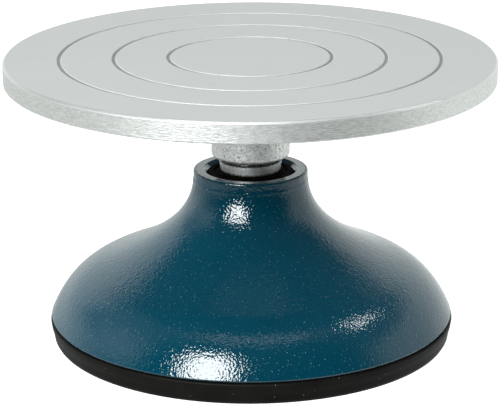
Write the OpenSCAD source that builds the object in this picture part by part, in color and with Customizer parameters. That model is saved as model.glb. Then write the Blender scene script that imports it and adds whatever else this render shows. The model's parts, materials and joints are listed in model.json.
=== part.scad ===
// Banding wheel: a small hand-turned pottery wheel.
// A cast aluminium head turns on a steel spindle that runs in two sealed-for-life ball bearings,
// one above the other in the hub of a bell-shaped cast-iron base with a rubber foot ring.
// Millimetres, +Z up. The origin is the middle of the footprint, on the table, and the spindle is on Z.

/* [Wheel head] */
// Diameter of the wheel head
head_d = 226.4; // [200:0.2:300]
// Thickness of the head at its rim
head_t = 9.7; // [8:0.1:14]
// Height of the working surface above the table
head_top = 134; // [130:1:150]
// Distance from each centring groove to the next
groove_step = 25; // [20:0.5:30]
// Width of each centring groove
groove_w = 2.2; // [1:0.1:4]
// Depth of each centring groove
groove_depth = 0.8; // [0.3:0.1:2]
// Number of ribs under the head
head_ribs = 8; // [4:1:12]
// Diameter of the boss under the head
boss_d = 36.5; // [34:0.5:44]

/* [Spindle] */
// Diameter of the journal that the bearings sit on
journal_d = 17; // [16.8:0.1:17.2]
// Diameter of the polished collar where the seal runs
collar_d = 28; // [27:0.5:29]
// Diameter of the stub that is pressed into the boss
stub_d = 20; // [18:0.5:22]

/* [Base] */
// Outer diameter of the rubber foot ring, which is the widest part of the base
foot_d = 189.4; // [180:0.2:200]
// Height of the rim around the bearing bore
rim_top = 80.5; // [80:0.1:81]
// Diameter of the rim around the bearing bore
rim_d = 53.2; // [52:0.2:56]
// Chamfer at the top of the bearing bore
bore_mouth = 1.8; // [0.5:0.1:2.4]
// Wall of the bell
wall = 6; // [5:0.5:7]
// Number of ribs inside the bell
base_ribs = 4; // [3:1:6]

/* [Bearings] */
// Outer diameter of both bearings
bearing_d = 40; // [39.8:0.1:40.2]
// Width of both bearings
bearing_w = 12; // [11.8:0.1:12.2]
// Number of balls in a bearing
balls = 8; // [7:1:8]
// Diameter of a ball
ball_d = 6.75; // [6.5:0.05:6.8]

/* [Hidden] */
$fn = 96;

// Colours
aluminium = "#c9cecc";
steel = "#a9abab";
race_steel = "#9a9da0";
spring_steel = "#4c4d50";
enamel = "#14495c";
rubber = "#1f1f1d";
cage_steel = "#b59a63";
plastic = "#2a2b2c";

fit_gap = 0.02;      // radial gap of parts that are pressed or slipped together
rivet_gap = 0.01;    // radial gap of a rivet in its hole

// Heights along the spindle, from the table up
lower_bearing_z = 24;                                 // underside of the lower bearing
upper_bearing_z = 61;                                 // underside of the upper bearing
lower_bearing_top = lower_bearing_z + bearing_w;
upper_bearing_top = upper_bearing_z + bearing_w;
hub_bottom = 16;
spindle_bottom = 20.2;
collar_foot = upper_bearing_top + 1;                  // the collar stands clear of the bearing's face
collar_waist = 80.7;                                  // the collar's cone starts here
collar_top = 84.9;
boss_bottom = 86.8;
stub_top = 116;
head_under = head_top - head_t;

// ---------------------------------------------------------------- shared curves and shapes

// A point, and the direction, at t along a cubic Bezier curve with the control points p
function bezier(p, t) =
    pow(1 - t, 3) * p[0] + 3 * pow(1 - t, 2) * t * p[1] + 3 * (1 - t) * t * t * p[2] + pow(t, 3) * p[3];
function bezier_slope(p, t) =
    pow(1 - t, 2) * (p[1] - p[0]) + 2 * (1 - t) * t * (p[2] - p[1]) + t * t * (p[3] - p[2]);
// n + 1 points along the curve, each moved by depth to the right of its direction
function curve(p, n, depth = 0) = [
    for (i = [0:n])
        let (d = bezier_slope(p, i / n), u = d / norm(d))
            bezier(p, i / n) + depth * [u[1], -u[0]]
];
// n + 1 points on an arc about c from angle a to angle b
function arc(c, r, a, b, n = 6) = [
    for (i = [0:n])
        let (t = a + (b - a) * i / n)
            [c[0] + r * cos(t), c[1] + r * sin(t)]
];
function reversed(list) = [for (i = [len(list) - 1:-1:0]) list[i]];

module lathe(points) {
    rotate_extrude() polygon(points);
}

// A ring with a rectangular section, and a chamfer on its four edges
module ring(r_in, r_out, z0, z1, c = 0.3) {
    lathe([
        [r_in + c, z0], [r_out - c, z0], [r_out, z0 + c], [r_out, z1 - c],
        [r_out - c, z1], [r_in + c, z1], [r_in, z1 - c], [r_in, z0 + c]
    ]);
}

// ---------------------------------------------------------------- wheel head and what turns with it

head_r = head_d / 2;
boss_r = boss_d / 2;
lip_w = 8;                           // width of the full-thickness rim under the head
web_rise = 3.2;                      // how far the underside is hollowed inside that rim
flare_r = 34;                        // where the boss's flare meets the web
flare_foot = 100;                    // height at which the flare starts
boss_fillet = 3;
screw_z = 94;                        // height of the grub screw in the boss
screw_r = 3;

module wheel_head() {
    web_z = head_under + web_rise;
    flare = [[boss_r, flare_foot], [boss_r, flare_foot + 14], [boss_r + 3, web_z], [flare_r, web_z]];
    section = concat(
        [[0, stub_top + 2], [stub_d / 2, stub_top + 2], [stub_d / 2, boss_bottom + 0.5],
         [stub_d / 2 + 0.5, boss_bottom]],
        arc([boss_r - boss_fillet, boss_bottom + boss_fillet], boss_fillet, -90, 0),
        curve(flare, 10),
        [[head_r - lip_w - 2, web_z], [head_r - lip_w, head_under], [head_r - 0.5, head_under],
         [head_r, head_under + 0.5], [head_r, head_top - 0.8], [head_r - 0.8, head_top]],
        [for (i = [2:-1:0]) each groove((i + 1.5) * groove_step)],
        [[0, head_top]]
    );
    color(aluminium) difference() {
        union() {
            lathe(section);
            for (i = [0:head_ribs - 1])
                rotate([0, 0, (i + 0.5) * 360 / head_ribs])
                    translate([flare_r - 8, -2, head_under + 0.2])
                        cube([head_r - lip_w - flare_r + 9, 4, web_rise]);
        }
        translate([0, 0, screw_z])
            rotate([-90, 0, 0]) cylinder(r = screw_r, h = boss_r + 5);
    }
}

// The outline of one round-bottomed groove at radius r in the working surface, from its outer edge inwards
function groove(r) = [
    for (a = [0:30:180])
        [r + groove_w / 2 * cos(a), head_top - groove_depth * sin(a)]
];

module spindle() {
    journal_r = journal_d / 2;
    stub_r = stub_d / 2 - fit_gap;
    groove_z = lower_bearing_z - 2.3;
    color(steel) difference() {
        lathe([
            [0, spindle_bottom], [journal_r - 1, spindle_bottom], [journal_r, spindle_bottom + 1],
            [journal_r, groove_z], [journal_r - 0.4, groove_z],
            [journal_r - 0.4, groove_z + 1.1], [journal_r, groove_z + 1.1],
            [journal_r, upper_bearing_top], [12, upper_bearing_top], [12, collar_foot],
            [collar_d / 2 - 0.4, collar_foot], [collar_d / 2, collar_foot + 0.4],
            [collar_d / 2, collar_waist], [collar_d / 2 + 0.5, collar_top - 0.4],
            [collar_d / 2 + 0.1, collar_top], [12.5, collar_top], [12.5, boss_bottom],
            [stub_r, boss_bottom], [stub_r, stub_top - 1.5], [stub_r - 1.5, stub_top], [0, stub_top]
        ]);
        // dimple for the grub screw's point
        translate([0, stub_r - 1.2, screw_z])
            rotate([-90, 0, 0]) cylinder(r = 2, h = 5);
    }
}

module head_grub_screw() {
    tip = stub_d / 2 - 1.1;
    end = boss_r - 0.8;
    color(spring_steel) translate([0, 0, screw_z]) rotate([-90, 0, 0]) difference() {
        union() {
            translate([0, 0, tip]) cylinder(r = 1.9, h = 2);
            translate([0, 0, tip + 1.5]) cylinder(r = screw_r - fit_gap, h = end - tip - 1.5);
        }
        translate([0, 0, end - 3]) rotate([0, 0, 30]) cylinder(r = 1.73, h = 4, $fn = 6);
    }
}

module race_spacer() {
    color(steel) ring(journal_d / 2 + fit_gap, 12, lower_bearing_top, upper_bearing_z);
}

module spindle_washer() {
    color(steel) ring(journal_d / 2 + 0.1, 12, lower_bearing_z - 1.2, lower_bearing_z, 0.15);
}

// A retaining ring for a shaft of radius r: a split ring with a lug on each side of the gap
module shaft_circlip(r, thick) {
    band = 2.2;
    linear_extrude(thick) difference() {
        union() {
            difference() {
                translate([-0.5, 0]) circle(r + band);
                circle(r);
            }
            for (s = [-1, 1])
                translate([r + 1.3, s * 2.6]) circle(1.7, $fn = 32);
        }
        circle(r);
        translate([0, -1.5]) square([r + 6, 3]);
        for (s = [-1, 1])
            translate([r + 1.4, s * 2.9]) circle(0.7, $fn = 32);
    }
}

module spindle_circlip() {
    color(spring_steel) translate([0, 0, lower_bearing_z - 2.28]) rotate([0, 0, 90])
        shaft_circlip(journal_d / 2 - 0.35, 1.05);
}

// ---------------------------------------------------------------- ball bearings

bearing_r = bearing_d / 2;
pitch_r = (bearing_d + journal_d) / 4;    // radius of the circle that the balls run on
ball_r = ball_d / 2;
raceway_r = ball_r + 0.15;                // the raceways stand a little clear of the balls
inner_shoulder_r = 12.25;
outer_shoulder_r = 17;
shield_z = bearing_w / 2 - 0.9;           // middle of the seat of a shield, from the bearing's middle
cage_sheet = 0.6;

module raceway() {
    rotate_extrude() translate([pitch_r, 0]) circle(raceway_r, $fn = 64);
}

module inner_race() {
    color(race_steel) difference() {
        ring(journal_d / 2 + fit_gap, inner_shoulder_r, -bearing_w / 2, bearing_w / 2);
        raceway();
    }
}

module outer_race() {
    color(race_steel) difference() {
        ring(outer_shoulder_r, bearing_r - fit_gap, -bearing_w / 2, bearing_w / 2);
        raceway();
        for (s = [-1, 1])
            translate([0, 0, s * shield_z])
                ring(outer_shoulder_r - 1, outer_shoulder_r + 0.5, -0.4, 0.4, 0.1);
    }
}

// A pressed shield: a flat ring with a step, held by its outer edge in the outer race. up is 1 or -1
module shield(up) {
    color(steel) scale([1, 1, up]) translate([0, 0, shield_z]) lathe([
        [inner_shoulder_r + 0.35, -0.6], [inner_shoulder_r + 1.5, -0.6], [inner_shoulder_r + 2, -0.3],
        [outer_shoulder_r + 0.4, -0.3], [outer_shoulder_r + 0.4, 0.1], [inner_shoulder_r + 1.8, 0.1],
        [inner_shoulder_r + 1.3, -0.2], [inner_shoulder_r + 0.35, -0.2]
    ]);
}

module at_balls() {
    for (i = [0:balls - 1])
        rotate([0, 0, i * 360 / balls]) translate([pitch_r, 0, 0]) children();
}

module at_rivets() {
    rotate([0, 0, 180 / balls]) at_balls() children();
}

module ball_set() {
    color(steel) at_balls() sphere(ball_r, $fn = 64);
}

// One half of the riveted ribbon cage: flat between the balls and cupped over each of them
module cage_half(up) {
    color(cage_steel) difference() {
        intersection() {
            union() {
                ring(pitch_r - 1.2, pitch_r + 1.2, min(0, up * cage_sheet), max(0, up * cage_sheet), 0.05);
                at_balls() sphere(ball_r + 0.1 + cage_sheet, $fn = 64);
            }
            translate([0, 0, min(0, up * 6)]) ring(pitch_r - 1.2, pitch_r + 1.2, 0, 6, 0.05);
        }
        at_balls() sphere(ball_r + 0.1, $fn = 64);
        at_rivets() translate([0, 0, -2]) cylinder(r = 0.5, h = 4, $fn = 24);
    }
}

module cage_rivets() {
    color(steel) at_rivets() {
        translate([0, 0, -cage_sheet]) cylinder(r = 0.5 - rivet_gap, h = 2 * cage_sheet, $fn = 24);
        for (s = [-1, 1])
            translate([0, 0, s * (cage_sheet + 0.2)]) cylinder(r = 0.85, h = 0.4, center = true, $fn = 24);
    }
}

// Puts one bearing part in place, given the height of the bearing's underside
module bearing_at(z) {
    translate([0, 0, z + bearing_w / 2]) children();
}

// ---------------------------------------------------------------- base

foot_r = foot_d / 2;
rim_r = rim_d / 2;
hub_r = 25.5;                            // outside of the hub inside the bell
bore_mid_r = 16.5;                       // bore between the two bearing seats
skirt_r = foot_r - 0.6;                  // the bell's lowest outer edge
skirt_z = 11.5;
land_r = foot_r - 3.7;                   // the rebate that the foot ring is stretched over
land_bottom = 2.5;
land_wall = 3.6;

// The bell's outline: a neck that flares into the shoulder, then a dome down to the skirt
shoulder = [foot_r - 24, 35.4];
shoulder_slope = 22.8;                   // degrees below the horizontal
skirt_slope = 67.8;
neck_curve = [
    [rim_r, rim_top - 0.8],
    [rim_r, rim_top - 19],
    shoulder + 35.4 * [-cos(shoulder_slope), sin(shoulder_slope)],
    shoulder
];
dome_curve = [
    shoulder,
    shoulder + 5.9 * [cos(shoulder_slope), -sin(shoulder_slope)],
    [skirt_r, skirt_z] + 18.6 * [-cos(skirt_slope), sin(skirt_slope)],
    [skirt_r, skirt_z]
];

// The bell's outline from the neck to the skirt, moved into the wall by depth,
// where its radius is from r_min to r_max
function bell(depth, r_min = 0, r_max = foot_d) = [
    for (p = concat(curve(neck_curve, 20, depth), curve(dome_curve, 12, depth)))
        if (p[0] > r_min && p[0] < r_max) p
];

module base_casting() {
    seat = [bearing_r, lower_bearing_z - 1.7];
    section = concat(
        // rim, with the machined edge of the bore
        [[bearing_r + bore_mouth, rim_top], [rim_r - 1.6, rim_top], [rim_r - 0.5, rim_top - 0.25]],
        bell(0),
        // skirt, rebate for the foot ring, and up inside the bell
        [[skirt_r - 0.3, skirt_z - 0.7], [skirt_r - 1, skirt_z - 1], [land_r, skirt_z - 1],
         [land_r, land_bottom + 0.5], [land_r - 0.5, land_bottom],
         [land_r - land_wall, land_bottom], [land_r - land_wall, skirt_z - 1]],
        reversed(bell(wall, hub_r + 2, land_r - land_wall)),
        // hub, its lower end, and the bore with the lower seat, the waist and the upper seat
        [[hub_r + 0.6, 54], [hub_r, 51], [hub_r, hub_bottom + 1], [hub_r - 1, hub_bottom],
         [bearing_r + 0.5, hub_bottom], [bearing_r, hub_bottom + 0.5],
         seat - [0, 0.05], seat + [1.2, -0.05], seat + [1.2, 1.55], seat + [0, 1.55],
         [bearing_r, lower_bearing_top], [bore_mid_r, lower_bearing_top],
         [bore_mid_r, upper_bearing_z], [bearing_r, upper_bearing_z], [bearing_r, rim_top - bore_mouth]]
    );
    rib = concat(bell(wall / 2, hub_r + 2, land_r - 1),
                 [[land_r - 2, 13], [land_r - 14, 13], [hub_r - 2, 22], [hub_r - 2, 54]]);
    color(enamel) union() {
        lathe(section);
        for (i = [0:base_ribs - 1])
            rotate([90, 0, (i + 0.5) * 360 / base_ribs])
                linear_extrude(5, center = true) polygon(rib);
    }
}

// Rubber channel stretched over the bell's lower edge
module foot_ring() {
    channel_top = skirt_z - 1.1;
    outer_lip = 0.9;
    inner_r = land_r - land_wall - 2.4;
    section = concat(
        arc([foot_r - outer_lip, channel_top - outer_lip], outer_lip, 90, 0),
        [[foot_r - 0.4, 7], [foot_r - 1.1, 4.6], [foot_r - 1.7, 1.4], [foot_r - 2.7, 0]],
        // two grip grooves in the sole
        [for (g = [foot_r - 4.6, foot_r - 7])
            each [[g + 0.5, 0], [g + 0.3, 0.7], [g - 0.3, 0.7], [g - 0.5, 0]]],
        [[inner_r + 1.2, 0], [inner_r, 1.2]],
        arc([inner_r + 1.2, 6.2], 1.2, 180, 90),
        [[land_r - land_wall - 0.05, 7.4], [land_r - land_wall - 0.05, land_bottom - 0.05],
         [land_r + 0.05, land_bottom - 0.05], [land_r + 0.05, channel_top]]
    );
    color(rubber) lathe(section);
}

// Rotary lip seal: a rubber-covered case in the bore, with a lip that runs on the collar
// and a raised dust lip above it
seal_z = upper_bearing_top + 0.3;
lip_r = collar_d / 2 + 0.1;
spring_ring_r = 15.9;
spring_z = seal_z + 2.2;
spring_r = 0.6;

module shaft_seal() {
    color(rubber) difference() {
        lathe([
            [bearing_r - fit_gap, seal_z + 0.5], [bearing_r - fit_gap, seal_z + 5.7],
            [bearing_r - 0.6, seal_z + 6.2], [17.4, seal_z + 6.2], [17.1, seal_z + 5.6],
            [16.3, seal_z + 5.6], [15.5, seal_z + 6.1], [15, seal_z + 6.9],
            [lip_r + 0.35, seal_z + 7.1], [lip_r, seal_z + 6.7], [lip_r + 0.5, seal_z + 4.6],
            [lip_r, seal_z + 2.2], [lip_r + 0.5, seal_z + 0.9], [lip_r + 1.8, seal_z + 0.9],
            [lip_r + 1.9, seal_z + 3.8], [lip_r + 2.4, seal_z + 4.6], [18.2, seal_z + 4.6],
            [18.2, seal_z], [bearing_r - 0.5, seal_z]
        ]);
        translate([0, 0, spring_z])
            rotate_extrude() translate([spring_ring_r, 0]) circle(spring_r + 0.02, $fn = 32);
    }
}

module seal_garter_spring() {
    color(spring_steel) translate([0, 0, spring_z])
        rotate_extrude() translate([spring_ring_r, 0]) circle(spring_r, $fn = 32);
}

// A retaining ring for a bore of radius r, with its lugs pointing inwards
module hub_circlip() {
    r = bearing_r + 1.1;
    band = 2.6;
    color(spring_steel) translate([0, 0, lower_bearing_z - 1.7]) rotate([0, 0, 90])
        linear_extrude(1.5) difference() {
            union() {
                difference() {
                    circle(r);
                    translate([-0.6, 0]) circle(r - band);
                }
                for (s = [-1, 1])
                    translate([r - 3.6, s * 4]) circle(2.2, $fn = 32);
            }
            translate([0, -2.5]) square([r + 2, 5]);
            for (s = [-1, 1])
                translate([r - 4, s * 4.3]) circle(1, $fn = 32);
        }
}

module hub_dust_cap() {
    color(plastic) lathe([
        [0, hub_bottom - 1.6], [hub_r - 3, hub_bottom - 1.6], [hub_r - 2.4, hub_bottom - 1],
        [hub_r - 2.4, hub_bottom], [bearing_r - fit_gap, hub_bottom],
        [bearing_r - fit_gap, hub_bottom + 4.6],
        [bearing_r - 0.5, hub_bottom + 5.2], [bearing_r - 1.6, hub_bottom + 5.2],
        [bearing_r - 1.6, hub_bottom], [0, hub_bottom]
    ]);
}

// ---------------------------------------------------------------- nodes

wheel_head();
spindle();
head_grub_screw();
bearing_at(upper_bearing_z) inner_race();  // upper_inner_race
bearing_at(lower_bearing_z) inner_race();  // lower_inner_race
race_spacer();
spindle_washer();
spindle_circlip();
bearing_at(upper_bearing_z) cage_half(1);  // upper_cage_top_half
bearing_at(upper_bearing_z) cage_half(-1);  // upper_cage_bottom_half
bearing_at(upper_bearing_z) cage_rivets();  // upper_cage_rivets
bearing_at(upper_bearing_z) ball_set();  // upper_balls
bearing_at(lower_bearing_z) cage_half(1);  // lower_cage_top_half
bearing_at(lower_bearing_z) cage_half(-1);  // lower_cage_bottom_half
bearing_at(lower_bearing_z) cage_rivets();  // lower_cage_rivets
bearing_at(lower_bearing_z) ball_set();  // lower_balls
base_casting();
foot_ring();
shaft_seal();
seal_garter_spring();
bearing_at(upper_bearing_z) outer_race();  // upper_outer_race
bearing_at(upper_bearing_z) shield(1);  // upper_bearing_top_shield
bearing_at(upper_bearing_z) shield(-1);  // upper_bearing_bottom_shield
bearing_at(lower_bearing_z) outer_race();  // lower_outer_race
bearing_at(lower_bearing_z) shield(1);  // lower_bearing_top_shield
bearing_at(lower_bearing_z) shield(-1);  // lower_bearing_bottom_shield
hub_circlip();
hub_dust_cap();
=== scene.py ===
"""The looks of the banding wheel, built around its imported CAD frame.

Outlines are in millimetres, as (radius, height) with a corner radius, and run clockwise:
outwards over the top, down the outside, inwards along the bottom and up the inside.
"""
import itertools
import json
import math

import bpy
import numpy as np
from mathutils import Matrix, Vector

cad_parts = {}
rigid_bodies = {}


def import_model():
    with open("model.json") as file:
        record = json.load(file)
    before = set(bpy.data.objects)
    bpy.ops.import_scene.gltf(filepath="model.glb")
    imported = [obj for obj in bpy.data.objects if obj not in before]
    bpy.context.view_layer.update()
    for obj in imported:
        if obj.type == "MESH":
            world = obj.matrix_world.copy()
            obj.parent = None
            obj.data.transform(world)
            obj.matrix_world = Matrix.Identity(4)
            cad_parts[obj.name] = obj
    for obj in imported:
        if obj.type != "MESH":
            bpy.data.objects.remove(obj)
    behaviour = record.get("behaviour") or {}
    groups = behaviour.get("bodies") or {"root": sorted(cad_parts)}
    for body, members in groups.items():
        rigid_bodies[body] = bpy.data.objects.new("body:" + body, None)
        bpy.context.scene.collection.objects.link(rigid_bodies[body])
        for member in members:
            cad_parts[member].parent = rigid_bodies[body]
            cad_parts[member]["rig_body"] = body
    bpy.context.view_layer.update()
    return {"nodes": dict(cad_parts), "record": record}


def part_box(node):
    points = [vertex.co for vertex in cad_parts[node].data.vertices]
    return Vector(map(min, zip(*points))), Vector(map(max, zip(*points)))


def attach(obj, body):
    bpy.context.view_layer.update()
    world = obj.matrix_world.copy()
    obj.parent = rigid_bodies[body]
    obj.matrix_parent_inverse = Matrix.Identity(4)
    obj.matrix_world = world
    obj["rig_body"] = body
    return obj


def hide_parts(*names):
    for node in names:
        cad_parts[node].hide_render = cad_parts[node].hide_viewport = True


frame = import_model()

MM = 0.001

# ---------------------------------------------------------------- sizes, in millimetres


def extent(node):
    """(outer radius, lowest height, highest height) of a CAD node."""
    low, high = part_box(node)
    return high.x / MM, low.z / MM, high.z / MM


HEAD_R, BOSS_BOTTOM, HEAD_TOP = extent("wheel_head")
SKIRT_R, LAND_BOTTOM, RIM_TOP = extent("base_casting")
FOOT_R, _, FOOT_LIP = extent("foot_ring")
_, SPINDLE_BOTTOM, STUB_TOP = extent("spindle")
SEAL_R, SEAL_BOTTOM, SEAL_TOP = extent("shaft_seal")
CAP_R, CAP_BOTTOM, CAP_TOP = extent("hub_dust_cap")

HEAD_UNDER = HEAD_TOP - 9.7      # lower edge of the head's rim
WEB_Z = HEAD_UNDER + 3.2         # underside of the head inside that rim
RIB_Z = HEAD_UNDER + 0.2         # lower edge of the head's ribs
LIP_R = HEAD_R - 1.2             # outer and inner edge of the rim's flat underside
LIP_INNER_R = HEAD_R - 8.0
FLARE_R = 34.0                   # where the underside starts to flare down into the boss
BOSS_R = 18.25
SOCKET_R = 10.0
GROOVE_RADII = (37.5, 62.5, 87.5)
COLLAR_TOP = 84.9                # shoulder of the spindle, just under the boss

RIM_R = 26.6                     # outside of the rim round the base's bore
NECK_Z = RIM_TOP - 2.2           # where that rim's round edge runs into the neck
BORE_R = 20.0
BORE_MOUTH = 1.8                 # chamfer at the top of the bore
HUB_R = 25.5                     # outside of the hub inside the bell
HUB_BOTTOM = 16.0
WALL = 6.0
SKIRT_Z = 11.5
LAND_R = FOOT_R - 3.7            # the rebate that the foot ring is stretched over
LAND_INNER_R = LAND_R - 3.6

# ---------------------------------------------------------------- shapes


def smooth(x):
    x = np.clip(x, 0, 1)
    return x * x * (3 - 2 * x)


def lumps(points, size, seed=0):
    """Smooth noise from -1 to 1 at each point, in lumps of about this size. It is the same on every run."""
    place = np.asarray(points, float) / size + 17.31 * (seed + 1)
    cell = np.floor(place)
    share = smooth(place - cell)
    total = 0
    for corner in itertools.product((0, 1), repeat=3):
        spun = np.sin((cell + corner) @ np.array([127.1, 311.7, 74.7])) * 43758.5453
        total = total + (spun - np.floor(spun)) * np.prod(np.where(corner, share, 1 - share), axis=-1)
    return 2 * total - 1


def unit(v):
    return v / (np.linalg.norm(v) + 1e-12)


def rounded(corners):
    """Points along an outline given as (r, z, radius) corners. Its first and last corners stay sharp."""
    points = [np.array(corners[0][:2], float)]
    for last, (r, z, radius), following in zip(corners, corners[1:], corners[2:]):
        here = np.array([r, z], float)
        back, ahead = np.array(last[:2]) - here, np.array(following[:2]) - here
        turn = math.pi - math.acos(np.clip(unit(back) @ unit(ahead), -1, 1))
        reach = min(radius * math.tan(turn / 2), 0.38 * np.linalg.norm(back), 0.38 * np.linalg.norm(ahead))
        if reach < 1e-4:
            points.append(here)
            continue
        start, end = here + reach * unit(back), here + reach * unit(ahead)
        points.append(start + 0.3 * reach * unit(back))
        for t in np.linspace(0, 1, 5):
            points.append((1 - t) ** 2 * start + 2 * t * (1 - t) * here + t * t * end)
        points.append(end + 0.3 * reach * unit(ahead))
    points.append(np.array(corners[-1][:2], float))
    return np.array(points)


def refined(points, step):
    """The same outline, with no stretch longer than step."""
    out = [points[0]]
    for a, b in zip(points, points[1:]):
        pieces = max(1, math.ceil(np.linalg.norm(b - a) / step))
        out += [a + (b - a) * i / pieces for i in range(1, pieces + 1)]
    return np.array(out)


def bezier(controls, count):
    t = np.linspace(0, 1, count + 1)[:, None]
    a, b, c, d = (np.array(p, float) for p in controls)
    return (1 - t) ** 3 * a + 3 * (1 - t) ** 2 * t * b + 3 * (1 - t) * t * t * c + t ** 3 * d


def joined(stretches):
    """One outline from (material, points) stretches: its points, and the material of the band after each."""
    points, bands = [], []
    for material, stretch in stretches:
        for p in stretch:
            if points and np.linalg.norm(p - points[-1]) < 0.004:
                bands[-1] = material
                continue
            points.append(p)
            bands.append(material)
    return np.array(points), bands


def even_angles(around):
    return np.arange(around) * 2 * math.pi / around


class Spokes:
    """Lines round an axis that crowd together at evenly spaced ribs, to give them straight, parallel sides.

    section is half of a rib: (distance from its middle, share of its height) from its middle outwards.
    """

    def __init__(self, ribs, steps, section):
        self.ribs, self.steps = ribs, steps
        self.offsets = np.array([offset for offset, _ in section])
        side = np.array([height for _, height in section] + [0.0] * steps)
        self.height = np.tile(self._mirrored(side, 1), ribs)

    def _mirrored(self, side, sign):
        """One sector's lines from those of half of it. The line halfway to the next rib comes last."""
        return np.concatenate([sign * side[-2:0:-1], side])

    def angles(self, r, crowding):
        """The lines' angles at radius r: even where crowding is 0, and at the ribs' sides where it is 1."""
        half = math.pi / self.ribs
        near = np.arcsin(np.clip(self.offsets / max(r, 1.0), 0, math.sin(0.8 * half)))
        far = near[-1] + (half - near[-1]) * np.arange(1, self.steps + 1) / self.steps
        count = len(near) + self.steps - 1
        side = crowding * np.concatenate([near, far]) + (1 - crowding) * half * np.arange(count + 1) / count
        sector = self._mirrored(side, -1)
        return np.concatenate([(2 * i + 1) * half + sector for i in range(self.ribs)])


def on_circles(radii, heights, angles):
    """(rings, around, 3) points from radii and heights that are one per ring or one per point."""
    radii, heights = (np.broadcast_to(v if np.ndim(v) == 2 else v[:, None], angles.shape)
                      for v in (radii, heights))
    return np.stack([radii * np.cos(angles), radii * np.sin(angles), heights], -1)


def ring_mesh(name, rings, bands, poles=None):
    """A closed mesh through rings of points in millimetres, with a material for the band after each ring.

    It ends in each of the two points in poles, or is looped back to its first ring.
    """
    count, around = rings.shape[:2]
    verts = rings.reshape(-1, 3)
    index = np.arange(count * around).reshape(count, around)
    if poles is None:
        index = np.vstack([index, index[:1]])
    a, b = index[:-1], index[1:]
    faces = np.stack([a, b, np.roll(b, -1, 1), np.roll(a, -1, 1)], -1).reshape(-1, 4).tolist()
    materials = list(dict.fromkeys(bands))
    slots = [materials.index(material) for material in bands]
    face_slots = np.repeat(slots[: len(a)], around).tolist()
    if poles is not None:
        first, last = len(verts), len(verts) + 1
        verts = np.vstack([verts, poles])
        faces += [[first, i, j] for i, j in zip(index[0], np.roll(index[0], -1))]
        faces += [[i, last, j] for i, j in zip(index[-1], np.roll(index[-1], -1))]
        face_slots += [slots[0]] * around + [slots[-1]] * around
    mesh = bpy.data.meshes.new(name)
    mesh.from_pydata((verts * MM).tolist(), [], faces)
    for material in materials:
        mesh.materials.append(material)
    mesh.polygons.foreach_set("material_index", np.array(face_slots, np.int32))
    return mesh


def smoothed(mesh, sharp):
    """Smooth shading, except at edges that turn by more than sharp degrees."""
    mesh.polygons.foreach_set("use_smooth", np.ones(len(mesh.polygons), bool))
    mesh.set_sharp_from_angle(angle=math.radians(sharp))


def added(name, data):
    """A new object in the scene."""
    obj = bpy.data.objects.new(name, data)
    bpy.context.scene.collection.objects.link(obj)
    return obj


def skin(name, rings, bands, poles=None, sharp=38):
    """An object of such a mesh. poles are the heights of its two ends on the axis."""
    mesh = ring_mesh(name, rings, bands, poles and [(0, 0, height) for height in poles])
    smoothed(mesh, sharp)
    mesh.validate()
    return added(name, mesh)


def lathe(name, points, material, around=192, poles=None):
    """A turned piece."""
    points, bands = joined([(material, points)])
    angles = np.broadcast_to(even_angles(around), (len(points), around))
    return skin(name, on_circles(points[:, 0], points[:, 1], angles), bands, poles)


def stand_in(obj, node):
    """obj takes a CAD node's place and body, and the node is hidden."""
    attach(obj, frame["nodes"][node]["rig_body"])
    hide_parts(node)
    return obj


# ---------------------------------------------------------------- materials


def add(tree, kind, inputs=(), **settings):
    """A node with its settings, and with each input set to a value or linked to a socket."""
    made = tree.nodes.new(kind)
    for key, value in settings.items():
        setattr(made, key, value)
    for key, value in dict(inputs).items():
        if isinstance(value, bpy.types.NodeSocket):
            tree.links.new(value, made.inputs[key])
        else:
            made.inputs[key].default_value = value
    return made


def map_range(tree, value, low, high, to_low, to_high, **settings):
    """value, taken from low..high to to_low..to_high and held there."""
    return add(tree, "ShaderNodeMapRange", {
        "Value": value, "From Min": low, "From Max": high, "To Min": to_low, "To Max": to_high},
        **settings).outputs[0]


def math_node(tree, operation, *values):
    return add(tree, "ShaderNodeMath", dict(enumerate(values)), operation=operation).outputs[0]


def color_mix(tree, share, a, b):
    """Colour a where share is 0, and b where it is 1. Each is a socket or three numbers."""
    made = add(tree, "ShaderNodeMix", {"Factor": share}, data_type="RGBA")
    for socket, color in zip([s for s in made.inputs if s.type == "RGBA"], (a, b)):
        if isinstance(color, bpy.types.NodeSocket):
            tree.links.new(color, socket)
        else:
            socket.default_value = (*color, 1)
    return next(s for s in made.outputs if s.type == "RGBA")


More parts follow.
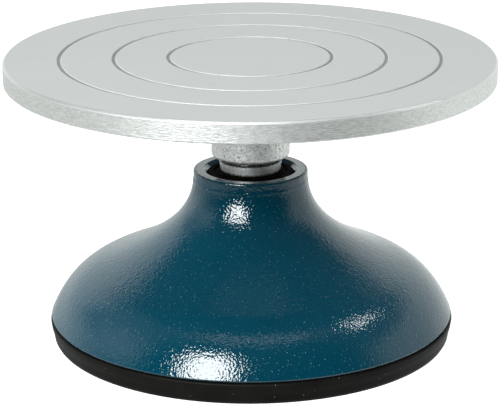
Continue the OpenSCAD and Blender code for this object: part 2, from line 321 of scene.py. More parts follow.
class Finish:
    """A procedural material on object coordinates. Lengths are in millimetres."""

    def __init__(self, name, metallic=0.0, **sockets):
        self.material = bpy.data.materials.new(name)
        self.material.use_nodes = True
        self.tree = self.material.node_tree
        self.shader = self.tree.nodes["Principled BSDF"]
        self.shader.inputs["Metallic"].default_value = metallic
        for key, value in sockets.items():
            self.shader.inputs[key.replace("_", " ")].default_value = value
        self.place = add(self.tree, "ShaderNodeTexCoord").outputs["Object"]
        self.normal = None

    def stretched(self, x, y, z):
        """The coordinates, stretched so that a texture's features are this many times longer each way."""
        return add(self.tree, "ShaderNodeVectorMath", {0: self.place, 1: (1 / x, 1 / y, 1 / z)},
                   operation="MULTIPLY").outputs[0]

    def height(self):
        """How high each point is above the floor, in millimetres."""
        return add(self.tree, "ShaderNodeSeparateXYZ", {0: self.stretched(MM, MM, MM)}).outputs["Z"]

    def noise(self, size, detail=2.0, roughness=0.5, place=None):
        """Noise from 0 to 1, in lumps of about this size."""
        return add(self.tree, "ShaderNodeTexNoise", {
            "Vector": place or self.place, "Scale": 1 / (size * MM), "Detail": detail,
            "Roughness": roughness}).outputs["Fac"]

    def mapped(self, value, low, high, to_low=0.0, to_high=1.0):
        return map_range(self.tree, value, low, high, to_low, to_high)

    def math(self, operation, a, b):
        return math_node(self.tree, operation, a, b)

    def weighted(self, a, weight_a, b, weight_b):
        """The sum of two values, each times its weight."""
        return self.math("ADD", self.math("MULTIPLY", a, weight_a), self.math("MULTIPLY", b, weight_b))

    def blend(self, share, a, b):
        return color_mix(self.tree, share, a, b)

    def color(self, socket):
        self.tree.links.new(socket, self.shader.inputs["Base Color"])

    def roughness(self, value, low, high):
        """Roughness from low, where value is 0, to high, where it is 1."""
        self.tree.links.new(self.mapped(value, 0.0, 1.0, low, high), self.shader.inputs["Roughness"])

    def bump(self, height, depth):
        """Adds bumps: depth is how far the surface rises where height is 1, in millimetres."""
        inputs = {"Height": height, "Distance": depth * MM, "Strength": 1.0}
        if self.normal:
            inputs["Normal"] = self.normal
        self.normal = add(self.tree, "ShaderNodeBump", inputs).outputs[0]
        self.tree.links.new(self.normal, self.shader.inputs["Normal"])

    def specks(self, size, radius, share):
        """Dots on that share of scattered points, of every strength up to 1. radius is in units of size."""
        cells = add(self.tree, "ShaderNodeTexVoronoi", {"Vector": self.place, "Scale": 1 / (size * MM)})
        lot = add(self.tree, "ShaderNodeSeparateColor", {0: cells.outputs["Color"]}).outputs[0]
        dot = self.mapped(cells.outputs["Distance"], radius, radius * 0.6)
        return self.math("MULTIPLY", dot, self.mapped(lot, 1 - share, 1.0))


def blasted_aluminium(name, dark, light, rough, depth=0.006):
    """The working surface: a fine, even, matte grain. It is deeper on the cut edges."""
    f = Finish(name, metallic=1.0)
    grain = f.noise(0.35, detail=3.0)
    cloud = f.noise(45.0, detail=3.0)
    f.color(f.blend(f.mapped(f.weighted(grain, 0.4, cloud, 1.0), 0.3, 1.1), dark, light))
    f.roughness(cloud, *rough)
    f.bump(grain, depth)
    return f.material


def turned_aluminium():
    """The rim: short streaks left by the lathe tool, and a glittering grain."""
    f = Finish("head_aluminium_turned", metallic=1.0)
    streaks = f.noise(0.42, detail=1.0, roughness=0.6, place=f.stretched(6.0, 6.0, 1.0))
    grain = f.noise(0.36, detail=1.0, roughness=0.6)
    tone = f.mapped(f.weighted(streaks, 0.55, grain, 0.45), 0.36, 0.64)
    f.color(f.blend(tone, (0.56, 0.56, 0.55), (0.80, 0.80, 0.79)))
    f.roughness(streaks, 0.38, 0.50)
    f.bump(streaks, 0.09)
    f.bump(grain, 0.05)
    return f.material


def cast_aluminium():
    """As cast in sand: pits, grain and faint stains. The boss is bright, and the underside round it is
    coloured dull and dark as painted shade.
    """
    f = Finish("head_aluminium_cast", metallic=1.0)
    grain = f.noise(0.8, detail=4.0, roughness=0.7)
    blotches = f.noise(2.2, detail=3.0)
    pits = f.specks(1.7, 0.34, 0.6)
    tone = f.mapped(f.weighted(grain, 0.8, blotches, 0.2), 0.38, 0.62)
    flat = f.stretched(1, 1, 1e6)
    radius = add(f.tree, "ShaderNodeVectorMath", {0: flat}, operation="LENGTH").outputs["Value"]
    boss = f.blend(tone, (0.50, 0.50, 0.496), (0.94, 0.94, 0.93))
    # painted shade: the underside beyond the boss is coloured far darker, as the shade under the head
    underside = f.blend(tone, (0.05, 0.05, 0.049), (0.15, 0.15, 0.148))
    tone_with_painted_shade = f.blend(f.mapped(radius, 24 * MM, 44 * MM), boss, underside)
    f.color(f.blend(f.math("MULTIPLY", pits, 0.8), tone_with_painted_shade, (0.10, 0.10, 0.098)))
    f.roughness(grain, 0.44, 0.62)
    f.bump(grain, 0.07)
    f.bump(f.math("MULTIPLY", pits, -1.0), 0.08)
    return f.material


def enamel(name, rough, peel, **sockets):
    """Glossy teal enamel that has kept the grain of the casting, with orange peel, pits, and caught dust
    whose pale specks are also painted glints.
    """
    f = Finish(name, IOR=1.5, **sockets)
    thick = f.noise(9.0, detail=2.0)
    dust = f.specks(1.25, 0.14, 0.75)
    body = f.blend(thick, (0.0002, 0.0238, 0.0405), (0.0005, 0.0280, 0.0462))
    # painted glints: the dust specks are a pale bluish white, like tiny highlights of the lamps
    f.color(f.blend(f.math("MULTIPLY", dust, 0.5), body, (0.40, 0.52, 0.55)))
    f.roughness(thick, *rough)
    deeper = f.mapped(f.height(), 15, RIM_TOP - 5, 0.85, 1.1)        # towards the rim
    for size, detail, depth in ((4.2, 0.0, 0.05), (1.9, 1.0, 0.12), (0.95, 1.0, 0.125)):
        f.bump(f.math("MULTIPLY", f.noise(size, detail=detail), deeper), depth * peel)
    f.bump(f.specks(1.3, 0.22, 0.5), -0.05 * peel)
    return f.material


def bare_iron(name, dark, light):
    """Machined grey iron, with fine tool lines and a little oil-dark staining."""
    f = Finish(name, metallic=1.0)
    lines = f.noise(0.15, detail=2.0, place=f.stretched(12.0, 12.0, 1.0))
    stains = f.noise(1.6, detail=4.0)
    f.color(f.blend(f.mapped(stains, 0.3, 0.7), dark, light))
    f.roughness(stains, 0.3, 0.5)
    f.bump(lines, 0.006)
    return f.material


def foot_rubber():
    """Black moulded rubber with a fine matte skin, paler where it is handled, and with dust on it."""
    f = Finish("foot_rubber", IOR=1.45, Specular_IOR_Level=0.085)
    skin_grain = f.noise(0.5, detail=3.0, roughness=0.6)
    worn = f.noise(14.0, detail=4.0)
    dust = f.specks(2.6, 0.09, 0.6)
    body = f.blend(f.mapped(worn, 0.35, 0.7), (0.0022, 0.0022, 0.0018), (0.0050, 0.0050, 0.0042))
    f.color(f.blend(f.math("MULTIPLY", dust, 0.5), body, (0.40, 0.38, 0.34)))
    f.roughness(worn, 0.46, 0.6)
    f.bump(skin_grain, 0.012)
    return f.material


def seal_rubber():
    """Oily black nitrile."""
    f = Finish("seal_rubber", IOR=1.45, Specular_IOR_Level=0.004)
    film = f.noise(3.0, detail=3.0)
    f.color(f.blend(f.mapped(film, 0.3, 0.7), (0.0005, 0.0005, 0.0005), (0.005, 0.004, 0.0035)))
    f.roughness(film, 0.4, 0.6)
    f.bump(f.noise(0.9, detail=2.0), 0.006)
    return f.material


def turned_steel(name, dark, light, rough, stretch, size=0.12, depth=0.003):
    """Bright steel with the fine rings of its last cut, which are stretched like this."""
    f = Finish(name, metallic=1.0)
    lines = f.noise(size, detail=3.0, roughness=0.6, place=f.stretched(*stretch))
    stains = f.noise(6.0, detail=4.0, roughness=0.6)
    f.color(f.blend(stains, dark, light))
    f.roughness(f.weighted(lines, 0.6, stains, 0.4), *rough)
    f.bump(lines, depth)
    return f.material


def stained_steel():
    """The spindle's steel: dull and blotched, and black where it meets the head and the seal: oily dirt
    there, with painted shade in those gaps.
    """
    f = Finish("spindle_steel", metallic=1.0)
    lines = f.noise(0.35, detail=2.0, place=f.stretched(*ACROSS_Z))
    stains = f.noise(1.3, detail=4.0, roughness=0.65)
    ragged = f.weighted(f.height(), 1.0, f.noise(0.7, detail=3.0), 1.6)
    # dirt and painted shade: ragged black bands at the collar's top, under the boss, and at its foot by the
    # seal
    grime_and_painted_shade = f.math("MAXIMUM", f.mapped(ragged, COLLAR_TOP + 0.2, COLLAR_TOP + 0.9),
                   f.mapped(ragged, SEAL_TOP + 1.6, SEAL_TOP + 1.0))
    steel = f.blend(f.mapped(stains, 0.36, 0.64), (0.86, 0.86, 0.855), (1.0, 1.0, 0.99))
    black = f.blend(f.mapped(stains, 0.45, 0.7), (0.02, 0.019, 0.017), (0.26, 0.26, 0.255))
    f.color(f.blend(grime_and_painted_shade, steel, black))
    f.roughness(stains, 0.44, 0.60)
    f.bump(lines, 0.006)
    f.bump(stains, 0.03)
    return f.material


def blackened_steel():
    """Oil-blackened spring steel."""
    f = Finish("black_steel", metallic=1.0)
    patches = f.noise(1.4, detail=4.0, roughness=0.65)
    f.color(f.blend(f.mapped(patches, 0.3, 0.7), (0.035, 0.035, 0.038), (0.13, 0.12, 0.11)))
    f.roughness(patches, 0.32, 0.55)
    f.bump(f.noise(0.25, detail=2.0), 0.008)
    return f.material


def pressed_cage():
    """Pressed sheet with a warm tone, drawn marks and a film of grease."""
    f = Finish("cage_steel", metallic=1.0)
    marks = f.noise(0.3, detail=4.0, roughness=0.65, place=f.stretched(1.0, 1.0, 3.0))
    grease = f.noise(2.5, detail=2.0)
    f.color(f.blend(grease, (0.36, 0.29, 0.17), (0.55, 0.47, 0.31)))
    f.roughness(marks, 0.25, 0.5)
    f.bump(marks, 0.008)
    return f.material


def moulded_plastic():
    """Black polypropylene with the fine spark grain of its mould."""
    f = Finish("cap_plastic", IOR=1.49)
    grain = f.noise(0.3, detail=3.0, roughness=0.6)
    cloud = f.noise(8.0, detail=2.0)
    f.color(f.blend(cloud, (0.016, 0.017, 0.018), (0.026, 0.027, 0.028)))
    f.roughness(grain, 0.42, 0.6)
    f.bump(grain, 0.02)
    return f.material


ACROSS_Z = (10.0, 10.0, 1.0)     # rings on a cylinder that stands on the axis
BLASTED = blasted_aluminium("head_aluminium_blasted", (0.755, 0.755, 0.755), (0.785, 0.784, 0.783),
                            (0.52, 0.60))
GROOVED = blasted_aluminium("head_aluminium_grooved", (0.67, 0.67, 0.67), (0.75, 0.75, 0.75), (0.70, 0.80),
                            depth=0.04)
# painted shade: the grooves' bottoms are coloured much darker than their walls and the top
GROOVE_PAINTED_SHADE = blasted_aluminium("head_aluminium_groove_painted_shade", (0.34, 0.34, 0.335), (0.44, 0.44, 0.435),
                                 (0.76, 0.86))
CHAMFERED = blasted_aluminium("head_aluminium_chamfer", (0.70, 0.70, 0.70), (0.80, 0.80, 0.80), (0.42, 0.52),
                              depth=0.04)
TURNED, CAST = turned_aluminium(), cast_aluminium()
ENAMEL = enamel("base_enamel", (0.06, 0.10), 1.0)
RIM_ENAMEL = enamel("base_enamel_rim", (0.07, 0.13), 0.25, Specular_IOR_Level=1.0)
BARE_IRON = bare_iron("base_bare_iron", (0.02, 0.019, 0.018), (0.12, 0.11, 0.10))
# painted shade: the bore is coloured almost black, as iron deep in shade
BORE_PAINTED_SHADE = bare_iron("base_iron_painted_shade", (0.004, 0.004, 0.004), (0.014, 0.013, 0.012))
FOOT_RUBBER, SEAL_RUBBER = foot_rubber(), seal_rubber()
SPINDLE_STEEL = stained_steel()
GROUND = turned_steel("ground_steel", (0.62, 0.62, 0.61), (0.80, 0.795, 0.78), (0.34, 0.5), ACROSS_Z)
BEARING = turned_steel("bearing_steel", (0.50, 0.51, 0.52), (0.62, 0.62, 0.63), (0.08, 0.18), ACROSS_Z,
                       depth=0.001)
BLACK_STEEL, CAGE, PLASTIC = blackened_steel(), pressed_cage(), moulded_plastic()

# ---------------------------------------------------------------- wheel head


def groove(r):
    """One centring groove in the working surface: its inner wall, its bottom, coloured darker as painted
    shade, and its outer wall.
    """
    half, clean, depth = 1.1, 0.35, 0.6
    inner = [(r - half - 0.25, HEAD_TOP, 0), (r - half, HEAD_TOP, 0.2),
             (r - half + clean, HEAD_TOP - clean, 0)]
    bottom = [inner[-1], (r - half + depth, HEAD_TOP - depth, 0.3), (r, HEAD_TOP - depth, 0)]
    outer, far_bottom = ([(2 * r - x, z, corner) for x, z, corner in side[::-1]] for side in (inner, bottom))
    return [(GROOVED, rounded(inner)), (GROOVE_PAINTED_SHADE, rounded(bottom)),
            (GROOVE_PAINTED_SHADE, rounded(far_bottom)), (GROOVED, rounded(outer))]


def head_outline():
    """From the middle of the working surface over the rim and along the underside up into the socket."""
    top, start = [], np.array([4.0, HEAD_TOP])
    for r in GROOVE_RADII:
        walls = groove(r)
        top += [(BLASTED, refined([start, walls[0][1][0]], 8.0)), *walls]
        start = walls[-1][1][-1]
    top.append((BLASTED, refined([start, np.array([HEAD_R - 1.3, HEAD_TOP])], 8.0)))
    chamfer = [(HEAD_R - 1.3, HEAD_TOP, 0), (HEAD_R - 0.85, HEAD_TOP, 0.35),
               (HEAD_R, HEAD_TOP - 0.85, 0.35), (HEAD_R, HEAD_TOP - 1.3, 0)]
    rim = [chamfer[-1], (HEAD_R, HEAD_UNDER + 0.5, 0.3), (HEAD_R - 0.5, HEAD_UNDER, 0.3),
           (LIP_R, HEAD_UNDER, 0)]
    lip = [(LIP_R, HEAD_UNDER, 0), (LIP_INNER_R, HEAD_UNDER, 0.8), (LIP_INNER_R - 2, WEB_Z, 1.6),
           (FLARE_R, WEB_Z, 0)]
    flare = bezier([(FLARE_R, WEB_Z), (BOSS_R + 3, WEB_Z), (BOSS_R, 114), (BOSS_R, 100)], 26)
    boss = [(BOSS_R, 100, 0), (BOSS_R, BOSS_BOTTOM, 3.4), (12, BOSS_BOTTOM, 0)]
    socket = [(12, BOSS_BOTTOM, 0), (SOCKET_R + 0.5, BOSS_BOTTOM, 0.1), (SOCKET_R, BOSS_BOTTOM + 0.5, 0.1),
              (SOCKET_R, STUB_TOP + 2, 0.3), (2, STUB_TOP + 2, 0)]
    return joined([
        *top, (CHAMFERED, refined(rounded(chamfer), 0.4)), (TURNED, refined(rounded(rim), 0.22)),
        (CAST, refined(rounded(lip), 2.5)), (CAST, flare), (CAST, refined(rounded(boss), 0.42)),
        (TURNED, refined(rounded(socket), 3.0)),
    ])


def wheel_head():
    points, bands = head_outline()
    r, z = points.T
    rib = [(0, 1), (1.0, 1), (1.5, 0.985), (1.8, 0.93), (1.97, 0.8), (2.06, 0.6), (2.15, 0.38),
           (2.35, 0.2), (2.7, 0.07), (3.2, 0.01), (3.8, 0)]
    spokes = Spokes(8, 8, rib)
    # the lines crowd at the ribs under the head only: they shift across the lip and back along the flare
    under = (z < HEAD_UNDER + 0.01) | (np.arange(len(r)) > np.argmin(abs(r - LIP_INNER_R)))
    crowding = np.where(under, smooth((LIP_R - r) / 6) * smooth((r - BOSS_R - 0.5) / 12), 0)
    angles = np.array([spokes.angles(*ring) for ring in zip(r, crowding)])
    heights = z[:, None] + spokes.height * under[:, None] * (np.minimum(z, RIB_Z) - z)[:, None]
    radii = np.broadcast_to(r[:, None], angles.shape).copy()
    flat = on_circles(radii, heights, angles)
    # the tool's rings on the rim
    on_rim = (r > HEAD_R - 0.01) & (z < HEAD_TOP - 1) & (z > HEAD_UNDER + 0.7)
    radii -= np.where(on_rim, 0.004 + 0.004 * np.sin(np.arange(len(r)) * 2.4), 0)[:, None]
    # the casting's rough skin
    cast = under & (r < LIP_INNER_R + 1) & (r > SOCKET_R + 2.5) & (heights[:, 0] > BOSS_BOTTOM + 0.05)
    cast = cast[:, None]
    on_boss = smooth((FLARE_R - r) / 8)[:, None]
    rough = 0.045 * lumps(flat, 0.9, 1) + 0.06 * lumps(flat, 2.4, 2) + 0.05 * lumps(flat, 7.0, 3)
    radii -= cast * on_boss * (0.06 + rough)
    sunk = 0.06 + 0.05 * lumps(flat, 5.0, 4) + 0.05 * lumps(flat, 14.0, 5)
    heights = heights + cast * (1 - on_boss) * sunk
    head = skin("wheel_head_casting", on_circles(radii, heights, angles), bands,
                poles=(HEAD_TOP, STUB_TOP + 2), sharp=50)
    return stand_in(head, "wheel_head")


# ---------------------------------------------------------------- base


def bell_outline(depth=0.0):
    """The bell's outline from the neck to the skirt, moved into the wall by depth."""
    shoulder, skirt = np.array([FOOT_R - 24, 35.4]), np.array([SKIRT_R, SKIRT_Z])
    shoulder_way, skirt_way = (np.array([math.cos(math.radians(slope)), -math.sin(math.radians(slope))])
                               for slope in (22.8, 67.8))
    neck = bezier([(RIM_R, RIM_TOP - 0.8), (RIM_R, RIM_TOP - 19), shoulder - 35.4 * shoulder_way, shoulder],
                  80)
    dome = bezier([shoulder, shoulder + 5.9 * shoulder_way, skirt - 18.6 * skirt_way, skirt], 40)
    points = np.vstack([neck, dome[1:]])
    ways = np.gradient(points, axis=0)
    ways /= np.linalg.norm(ways, axis=1)[:, None]
    return points + depth * np.stack([ways[:, 1], -ways[:, 0]], -1)


def base_outline():
    """From the bore's mouth over its rim, down the bell, up inside it, down the hub and up the bore."""
    bell = bell_outline()
    bell = bell[bell[:, 1] < NECK_Z]
    below_rim = bell[:, 1] > NECK_Z - 5
    inside = bell_outline(WALL)[::-1]
    inside = inside[(inside[:, 0] < LAND_INNER_R - 0.2) & (inside[:, 0] > HUB_R + 4.5)]
    ceiling_end = inside[-1]
    mouth = [(BORE_R, RIM_TOP - BORE_MOUTH, 0), (BORE_R + BORE_MOUTH, RIM_TOP, 0.8),
             (RIM_R - 1.4, RIM_TOP, 0)]
    rim = [(RIM_R - 1.4, RIM_TOP, 0), (RIM_R - 0.7, RIM_TOP, 0.5), (RIM_R - 0.2, RIM_TOP - 0.2, 0.5),
           (RIM_R, RIM_TOP - 0.7, 0.6), (RIM_R, NECK_Z, 0)]
    skirt = [(SKIRT_R, SKIRT_Z, 0), (SKIRT_R - 0.25, SKIRT_Z - 0.75, 0.3), (SKIRT_R - 1, SKIRT_Z - 1, 0.2),
             (LAND_R, SKIRT_Z - 1, 0.2), (LAND_R, LAND_BOTTOM, 0.5), (LAND_R - 0.8, LAND_BOTTOM, 0)]
    land = [(LAND_R - 0.8, LAND_BOTTOM, 0), (LAND_INNER_R, LAND_BOTTOM, 0.4), (LAND_INNER_R, 9.0, 0)]
    wall = [(LAND_INNER_R, 9.0, 0), (LAND_INNER_R, 10.5, 0), (*inside[0], 0)]
    hub_top = [(*ceiling_end, 0), (HUB_R + 1.6, ceiling_end[1] + 3.4, 2.0), (HUB_R + 0.1, 47, 2.0),
               (HUB_R, 44, 0)]
    hub_side = [(HUB_R, 44, 0), (HUB_R, HUB_BOTTOM, 1.2), (BORE_R + 4.2, HUB_BOTTOM, 0)]
    entry = [(BORE_R + 4.2, HUB_BOTTOM, 0), (BORE_R + 0.5, HUB_BOTTOM, 0.2), (BORE_R, HUB_BOTTOM + 0.5, 0.2)]
    circlip_groove = [(BORE_R, 22.25, 0), (BORE_R + 1.2, 22.25, 0), (BORE_R + 1.2, 23.85, 0),
                      (BORE_R, 23.85, 0)]
    between_bearings = [(BORE_R, 36, 0), (16.5, 36, 0), (16.5, 61, 0), (BORE_R, 61, 0)]
    bore = [*entry, *circlip_groove, *between_bearings, (BORE_R, RIM_TOP - BORE_MOUTH, 0)]
    return joined([
        (RIM_ENAMEL, refined(rounded(mouth), 0.5)), (ENAMEL, rounded(rim)),
        (ENAMEL, refined(bell[below_rim], 0.4)), (ENAMEL, bell[~below_rim]), (ENAMEL, rounded(skirt)),
        (BARE_IRON, refined(rounded(land), 0.7)), (ENAMEL, rounded(wall)), (ENAMEL, inside),
        (ENAMEL, rounded(hub_top)), (ENAMEL, refined(rounded(hub_side), 2.0)),
        (BORE_PAINTED_SHADE, refined(rounded(bore), 6.0)[:-1]),
    ])


def base_casting():
    points, bands = base_outline()
    r, z = points.T
    rib = [(0, 1), (1.4, 1), (2.0, 0.985), (2.35, 0.95), (2.55, 0.88), (2.9, 0.3), (3.1, 0.13),
           (3.6, 0.045), (4.5, 0.008), (5.6, 0)]
    spokes = Spokes(4, 24, rib)
    order = np.arange(len(r))
    land_at = order[(z < LAND_BOTTOM + 0.01) & (r > LAND_INNER_R)]
    hub_at = order[abs(z - HUB_BOTTOM) < 0.01]
    inner = (order >= land_at[-1]) & (order <= hub_at[0])
    # the lines start to crowd at the ribs on the land, and stop at the hub's lower end
    crowding = inner.astype(float)
    crowding[land_at] = np.linspace(0, 1, len(land_at))
    crowding[hub_at] = np.linspace(1, 0, len(hub_at))
    angles = np.array([spokes.angles(*ring) for ring in zip(r, crowding)])
    # on a rib, the ceiling comes down to the rib's lower edge, and the hub's side is squeezed in below it
    edge = np.interp(r, [HUB_R, LAND_INNER_R - 11, LAND_INNER_R], [22, 13, 13])
    on_hub = inner & (r < HUB_R + 0.2)
    floor_z = HUB_BOTTOM + 1
    squeezed = floor_z + (z - floor_z) * (edge - floor_z) / (z[on_hub].max() - floor_z)
    rib_z = np.where(on_hub, np.where(z > floor_z, squeezed, z), np.minimum(z, edge))
    heights = z[:, None] + spokes.height * inner[:, None] * (rib_z - z)[:, None]
    radii = np.broadcast_to(r[:, None], angles.shape).copy()
    flat = on_circles(radii, heights, angles)
    # the casting isn't perfectly true: slow waves outside, and coarser ones inside
    outside = (order < np.argmin(abs(r - SKIRT_R) + abs(z - SKIRT_Z))) & (z < NECK_Z)
    fade = smooth((RIM_TOP - 0.5 - z) / 4)[:, None] * smooth((z - SKIRT_Z) / 6)[:, None]
    waves = 0.05 * lumps(flat, 16.0, 6) + 0.035 * lumps(flat, 6.0, 7)
    # a bead of thick enamel has dried just under the rim
    bead = np.exp(-((z - RIM_TOP + 4.8) / 0.7) ** 2)[:, None] * (0.12 + 0.14 * lumps(flat, 2.6, 13))
    radii += outside[:, None] * (fade * (waves - 0.09) + bead)
    coarse = (inner & (z > 11))[:, None]
    heights = heights + coarse * (0.12 * lumps(flat, 6.0, 8) + 0.05 * lumps(flat, 2.0, 9))
    base = skin("base_casting_enamelled", on_circles(radii, heights, angles), bands)
    return stand_in(base, "base_casting")


def foot_ring():
    lip = [(LAND_R + 0.05, FOOT_LIP, 0), (FOOT_R - 1.6, FOOT_LIP - 0.25, 0.3),
           (FOOT_R - 0.45, FOOT_LIP - 0.45, 0.3), (FOOT_R - 0.05, FOOT_LIP - 1.0, 0.4)]
    side = [(FOOT_R - 0.4, 7.0, 6), (FOOT_R - 1.1, 4.6, 4), (FOOT_R - 1.7, 1.4, 2), (FOOT_R - 2.6, 0, 0.7)]
    sole = []
    for g in (4.6, 7.0):
        sole += [(FOOT_R - g + 0.5, 0, 0.12), (FOOT_R - g + 0.3, 0.7, 0.15),
                 (FOOT_R - g - 0.3, 0.7, 0.15), (FOOT_R - g - 0.5, 0, 0.12)]
    inner_r = LAND_INNER_R - 2.4
    inside = [(inner_r, 0, 1.2), (inner_r, 7.4, 1.2), (LAND_INNER_R - 0.05, 7.4, 0.2),
              (LAND_INNER_R - 0.05, LAND_BOTTOM - 0.05, 0), (LAND_R + 0.05, LAND_BOTTOM - 0.05, 0),
              (LAND_R + 0.05, FOOT_LIP, 0)]
    outline = rounded(lip + side + sole + inside)[:-1]
    points, bands = joined([(FOOT_RUBBER, refined(outline, 1.2))])
    around = 288
    angles = np.broadcast_to(even_angles(around), (len(points), around))
    r, z = points.T
    flat = on_circles(r, z, angles)
    # it was stretched on by hand, so its lip isn't quite even
    slack = (z > 0.8)[:, None] * smooth((z - 0.8) / 4)[:, None] * (r > LAND_R + 0.5)[:, None]
    radii = r[:, None] + slack * (0.05 * lumps(flat, 22.0, 10) + 0.03 * lumps(flat, 7.0, 11) - 0.08)
    heights = z[:, None] + slack * 0.06 * lumps(flat, 18.0, 12) * (z > FOOT_LIP - 2)[:, None] - slack * 0.05
    ring = skin("foot_ring_rubber", on_circles(radii, heights, angles), bands)
    return stand_in(ring, "foot_ring")


# ---------------------------------------------------------------- spindle and seal


def spindle():
    """From its centre hole up the journal and its circlip groove to the collar, the neck and the stub."""
    journal_r, collar_r, neck_r, stub_r = 8.5, 14.0, 12.5, 9.98
    collar_z, neck_top, hole_top = 74.0, 86.8, SPINDLE_BOTTOM + 4.5
    hole = [(0.5, hole_top, 0), (3, SPINDLE_BOTTOM + 2, 0), (3, SPINDLE_BOTTOM, 0)]
    journal = [(journal_r - 1, SPINDLE_BOTTOM, 0.1), (journal_r, SPINDLE_BOTTOM + 1, 0.1),
               (journal_r, 21.7, 0), (journal_r - 0.4, 21.7, 0), (journal_r - 0.4, 22.8, 0),
               (journal_r, 22.8, 0), (journal_r, collar_z - 1, 0)]
    collar = [(12, collar_z - 1, 0), (12, collar_z, 0.1), (collar_r - 0.4, collar_z, 0.1),
              (collar_r, collar_z + 0.4, 0.1), (collar_r, 80.7, 2.0),
              (collar_r + 0.5, COLLAR_TOP - 0.4, 0.12), (collar_r + 0.1, COLLAR_TOP, 0.12)]
    neck = [(neck_r, COLLAR_TOP, 0.3), (neck_r, neck_top, 0.05)]
    stub = [(stub_r, neck_top, 0), (stub_r, STUB_TOP - 1.5, 0.2), (stub_r - 1.5, STUB_TOP, 0.2),
            (0.5, STUB_TOP, 0)]
    points = refined(rounded(hole + journal + collar + neck + stub), 4.0)[::-1]
    piece = lathe("spindle_ground", points, SPINDLE_STEEL, poles=(STUB_TOP, hole_top))
    return stand_in(piece, "spindle")


def shaft_seal():
    z0, lip_r = SEAL_BOTTOM, 14.1
    outline = [
        (SEAL_R - 0.6, z0 + 6.2, 0.2), (SEAL_R, z0 + 5.7, 0.3), (SEAL_R, z0 + 0.5, 0.2),
        (SEAL_R - 0.5, z0, 0.2), (18.2, z0, 0.2), (18.2, z0 + 4.6, 0.5), (lip_r + 2.4, z0 + 4.6, 0.4),
        (lip_r + 1.9, z0 + 3.8, 0.3), (lip_r + 1.8, z0 + 0.9, 0.3), (lip_r + 0.5, z0 + 0.9, 0.15),
        (lip_r, z0 + 2.2, 0.05), (lip_r + 0.5, z0 + 4.6, 0.6), (lip_r, z0 + 6.7, 0.1),
        (lip_r + 0.35, z0 + 7.1, 0.1), (15.0, z0 + 6.9, 0.4), (15.5, z0 + 6.1, 0.3), (16.3, z0 + 5.6, 0.4),
        (17.1, z0 + 5.6, 0.2), (17.4, z0 + 6.2, 0.2),
    ]
    points = rounded([outline[-1], *outline, outline[0]])[1:-1]
    return stand_in(lathe("shaft_seal_moulded", points, SEAL_RUBBER), "shaft_seal")


def hub_dust_cap():
    """A moulded cap: a recessed disc with a rounded flange, and a low boss with a gate mark at its centre."""
    flange_z, skirt_r, skirt_top, face, recess = HUB_BOTTOM, SEAL_R, CAP_TOP, CAP_BOTTOM, CAP_BOTTOM + 0.6
    outline = [
        (0.5, flange_z, 0), (skirt_r - 1.6, flange_z, 0.2), (skirt_r - 1.6, skirt_top, 0.2),
        (skirt_r - 0.5, skirt_top, 0.2), (skirt_r, skirt_top - 0.6, 0.2), (skirt_r, flange_z, 0.1),
        (CAP_R, flange_z, 0.1), (CAP_R, recess, 0.4), (CAP_R - 0.6, face, 0.4), (16.5, face, 0.25),
        (16.0, recess, 0.25), (7.0, recess, 0.25), (6.5, face, 0.25), (2.2, face, 0.2),
        (1.9, face + 0.3, 0.1), (0.5, face + 0.35, 0),
    ]
    piece = lathe("hub_dust_cap_moulded", refined(rounded(outline), 3.0), PLASTIC, around=160,
                  poles=(flange_z, face + 0.35))
    return stand_in(piece, "hub_dust_cap")


for build in (wheel_head, base_casting, foot_ring, spindle, shaft_seal, hub_dust_cap):
    build()

# ---------------------------------------------------------------- the CAD nodes that stay

FINISHES = {"ground_steel": GROUND, "bearing_steel": BEARING, "black_steel": BLACK_STEEL, "cage_steel": CAGE,
            "head_aluminium": TURNED, "base_enamel": ENAMEL, "foot_rubber": FOOT_RUBBER,
            "seal_rubber": SEAL_RUBBER, "cap_plastic": PLASTIC}
for part in frame["record"]["subparts"]:
    for holder in frame["nodes"][part["node"]].material_slots:
        holder.material = FINISHES[part["material_slot"]]

# ---------------------------------------------------------------- studio


LIGHT_DISTANCE = 1.5
STUDIO_MIDDLE = np.array([0, 0, 0.05])
LIGHT_TINT = (0.96, 1.0, 1.0)
ROOM_TINT = (0.948, 1.0, 0.979)


def towards(azimuth, elevation):
    """The unit vector that way from the object. Azimuth 0 is -Y, the side that faces the camera; 90 is +X."""
    a, e = math.radians(azimuth), math.radians(elevation)
    return np.array([math.sin(a) * math.cos(e), -math.cos(a) * math.cos(e), math.sin(e)])


def softbox(name, azimuth, elevation, width, height, radiance):
    """An oval light that faces the object. Its sizes are angles in degrees, as seen from there."""
    light = bpy.data.lights.new(name, "AREA")
    light.shape = "ELLIPSE"
    light.size = 2 * LIGHT_DISTANCE * math.tan(math.radians(width / 2))
    light.size_y = 2 * LIGHT_DISTANCE * math.tan(math.radians(height / 2))
    light.energy = radiance * math.pi * math.pi / 4 * light.size * light.size_y
    light.color = LIGHT_TINT
    obj = added(name, light)
    obj.location = STUDIO_MIDDLE + LIGHT_DISTANCE * towards(azimuth, elevation)
    obj.rotation_euler = (math.radians(90 - elevation), 0, math.radians(azimuth))
    obj.visible_camera = False
    return obj


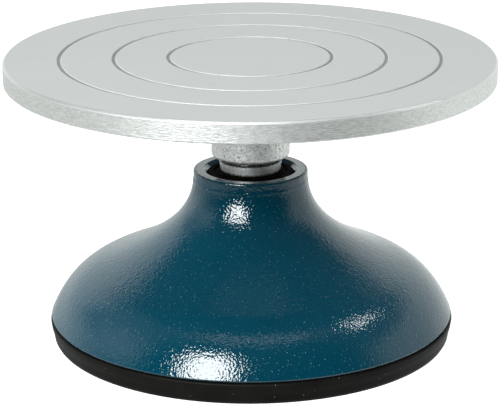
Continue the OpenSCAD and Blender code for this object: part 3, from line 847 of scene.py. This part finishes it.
def world():
    """What the object mirrors. The camera itself sees plain white."""
    made = bpy.data.worlds.new("studio")
    bpy.context.scene.world = made
    made.use_nodes = True
    tree = made.node_tree
    tree.nodes.clear()

    def ramp(value, low, high, to_low, to_high):
        return map_range(tree, value, low, high, to_low, to_high, interpolation_type="SMOOTHSTEP")

    def mixed(share, a, b):
        return add(tree, "ShaderNodeMix", {"Factor": share, "A": a, "B": b}, data_type="FLOAT").outputs[0]

    def greater(a, b):
        return math_node(tree, "MAXIMUM", a, b)

    way = add(tree, "ShaderNodeSeparateXYZ", {0: add(tree, "ShaderNodeTexCoord").outputs["Generated"]})
    x, y, z = (way.outputs[axis] for axis in "XYZ")
    azimuth = math_node(tree, "ARCTAN2", x, math_node(tree, "MULTIPLY", y, -1.0))

    def around(low, high, to_low, to_high):
        """A ramp over the azimuth, which counts as in towards()."""
        return ramp(azimuth, math.radians(low), math.radians(high), to_low, to_high)

    # a white sheet behind and on the right, and on the left a screen with a darker gap beside it
    right = math_node(tree, "ADD", around(62, 92, 0.015, 0.95), around(108, 140, 0.0, 0.17))
    low_left = around(-60, -128, 0.015, 1.1)
    screen = math_node(tree, "MULTIPLY", around(-64, -76, 0.0, 0.9), around(-92, -112, 1.0, 0.5))
    high_left = greater(screen, around(-122, -136, 0.015, 1.12))
    left = mixed(ramp(z, 0.22, 0.33, 0.0, 1.0), low_left, high_left)
    # the table is bright close by and at both sides, and dark further out in front
    near_table = math_node(tree, "MULTIPLY", ramp(z, -0.29, -0.42, 0.03, 1.0), around(15, 60, 0.98, 1.25))
    table_sides = greater(around(44, 88, 0.03, 1.05), around(-25, -70, 0.03, 0.75))
    walls = mixed(ramp(z, -0.02, -0.14, 0.0, 1.0), greater(left, right), greater(near_table, table_sides))
    # the ceiling is lighter on the left, and the room is dark in front of it
    back_ceiling = ramp(x, -0.66, -0.40, 0.36, 0.17)
    front_ceiling = ramp(z, 0.78, 0.90, 0.03, 0.14)
    ceiling = mixed(ramp(y, -0.15, -0.4, 0.0, 1.0), back_ceiling, front_ceiling)
    # the sheet's top edge is a little lower on the right
    slanted_height = math_node(tree, "MULTIPLY_ADD", x, 0.08, z)
    shade = mixed(ramp(slanted_height, 0.49, 0.62, 0.0, 1.0), walls, ceiling)
    camera_ray = add(tree, "ShaderNodeLightPath").outputs["Is Camera Ray"]
    background = add(tree, "ShaderNodeBackground", {
        "Color": color_mix(tree, camera_ray, ROOM_TINT, (1, 1, 1)),
        "Strength": mixed(camera_ray, shade, 1.0)})
    tree.links.new(background.outputs[0], add(tree, "ShaderNodeOutputWorld").inputs[0])


def floor():
    """A pale, matte sheet that glows a little, so that the shadow on it is faint."""
    radius, around = 4.0, 96
    verts = [(0, 0, 0)] + [(radius * math.cos(a), radius * math.sin(a), 0) for a in even_angles(around)]
    mesh = bpy.data.meshes.new("floor")
    mesh.from_pydata(verts, [], [(0, 1 + i, 1 + (i + 1) % around) for i in range(around)])
    sheet = Finish("floor_paper", IOR=1.3)
    sheet.shader.inputs["Base Color"].default_value = (0.4, 0.4, 0.4, 1)
    sheet.shader.inputs["Roughness"].default_value = 0.9
    sheet.shader.inputs["Emission Color"].default_value = (1, 1, 1, 1)
    sheet.shader.inputs["Emission Strength"].default_value = 0.8
    sheet.bump(sheet.noise(1.5), 0.01)
    mesh.materials.append(sheet.material)
    obj = added("floor", mesh)
    obj.visible_diffuse = obj.visible_glossy = obj.visible_shadow = False


def camera():
    """The photograph's viewpoint: a long lens that looks down a little and leans a touch."""
    looks_down, leans = math.radians(17.483), math.radians(-0.26)
    data = bpy.data.cameras.new("camera")
    data.sensor_width = 36
    data.lens = 171.55
    data.shift_x = -0.0015
    obj = added("camera", data)
    obj.location = (0, -1.0616, 0.3980)
    tilt = Matrix.Rotation(math.pi / 2 - looks_down, 3, "X")
    obj.rotation_euler = (tilt @ Matrix.Rotation(leans, 3, "Z")).to_euler()
    bpy.context.scene.camera = obj


world()
floor()
softbox("key_softbox", -26, 27.5, 27, 33, 24.5)
softbox("side_softbox", 101, 49, 12.5, 4.4, 21.0)
softbox("overhead_softbox", 5, 74, 46, 20, 1.8)
for name, azimuth, elevation, radiance in (("front_fill", 8, 44, 3.2), ("left_fill", -110, 25, 10.0),
                                           ("right_fill", 110, 25, 6.0)):
    softbox(name, azimuth, elevation, 42, 34, radiance).visible_glossy = False
camera()
bpy.context.scene.view_settings.view_transform = "Standard"
